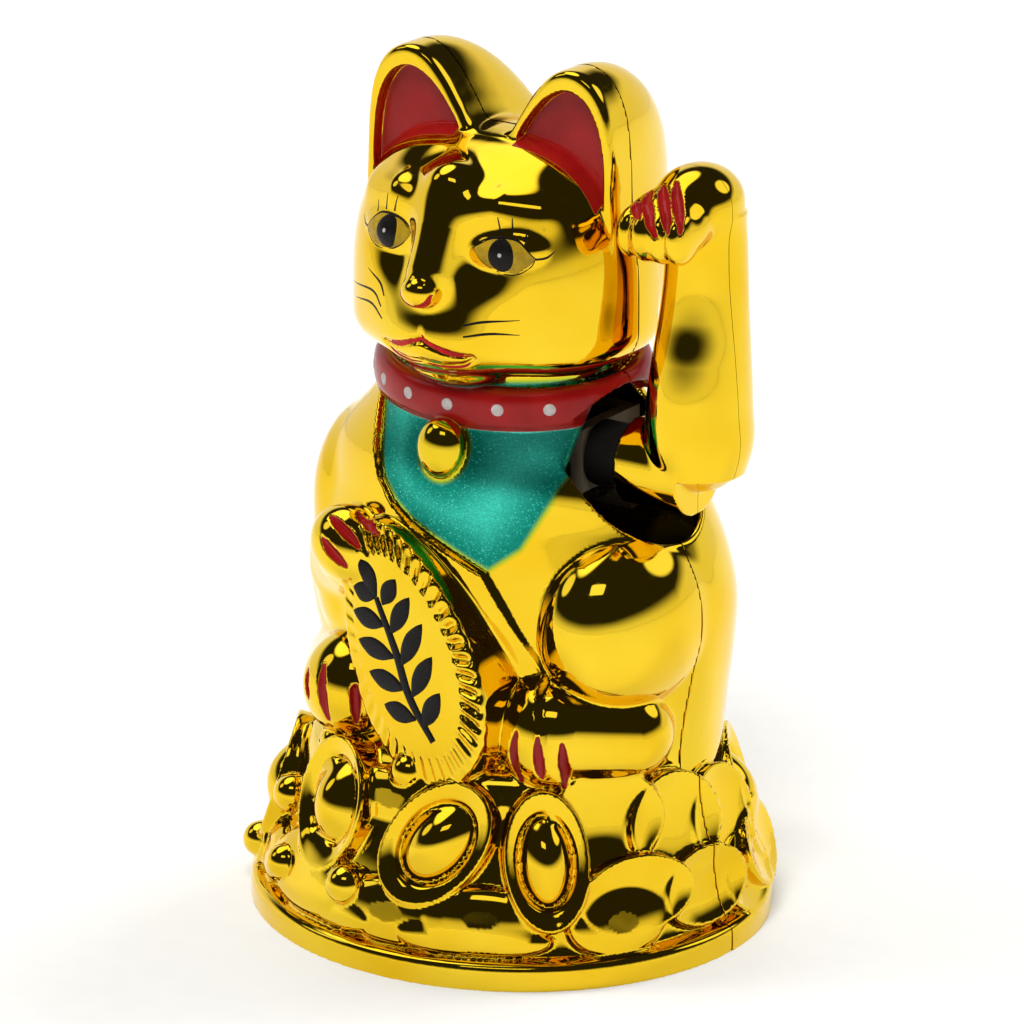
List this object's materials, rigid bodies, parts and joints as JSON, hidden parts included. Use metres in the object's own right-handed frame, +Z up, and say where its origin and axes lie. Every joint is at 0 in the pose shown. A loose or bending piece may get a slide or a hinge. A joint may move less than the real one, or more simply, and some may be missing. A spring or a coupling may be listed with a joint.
{
  "type": "beckoning cat figurine",
  "caption": "Seated cat figurine on a base heaped with ingots, holding a tablet, with a hollow two-part casing and one raised arm that swings on a battery-driven pendulum.",
  "frame": {"origin": "middle of the oval base, on the plane that the figurine stands on", "axes": "+Z up, -Y the way the cat faces, +X the cat's left, the side of the swinging arm"},
  "size_m": [0.0936, 0.0868, 0.1505],
  "materials": {
    "gold_casing": "polished",
    "gold_arm": "polished",
    "gold_cover": "gloss",
    "dark_plastic": "satin",
    "pale_plastic": "satin",
    "steel": "satin",
    "magnet": "satin",
    "plated_contact": "gloss",
    "board": "satin",
    "bobbin": "satin",
    "copper": "gloss",
    "component_black": "satin",
    "resistor_tan": "satin",
    "cell_jacket": "gloss",
    "red_insulation": "satin",
    "black_insulation": "satin"
  },
  "bodies": {
    "casing": {"front_shell": "gold_casing", "rear_shell": "gold_casing", "base_cover": "gold_cover", "pivot_bracket": "pale_plastic", "circuit_board": "board", "coil_bobbin": "bobbin", "coil_winding": "copper", "transistor": "component_black", "capacitor": "component_black", "resistors": "resistor_tan", "battery_cell": "cell_jacket", "battery_spring": "plated_contact", "positive_contact": "plated_contact", "negative_contact": "plated_contact", "positive_lead": "red_insulation", "negative_lead": "black_insulation", "cover_screws": "steel", "board_screws": "steel", "bracket_screws": "steel"},
    "arm": {"arm_front_half": "gold_arm", "arm_rear_half": "gold_arm", "arm_connector": "dark_plastic", "pivot_axle": "steel", "axle_clips": "steel", "swing_lever": "pale_plastic", "counterweight": "steel", "lever_magnet": "magnet"},
    "door": {"battery_door": "gold_cover"}
  },
  "joints": [
    {"name": "arm_swing", "type": "hinge", "parent": "casing", "child": "arm", "pos_m": [0, -0.001, 0.084], "axis": [1, 0, 0], "range_deg": [-15, 15]},
    {"name": "battery_door_slide", "type": "slide", "parent": "casing", "child": "door", "axis": [0, -1, 0], "range_m": [0, 0.006]}
  ]
}
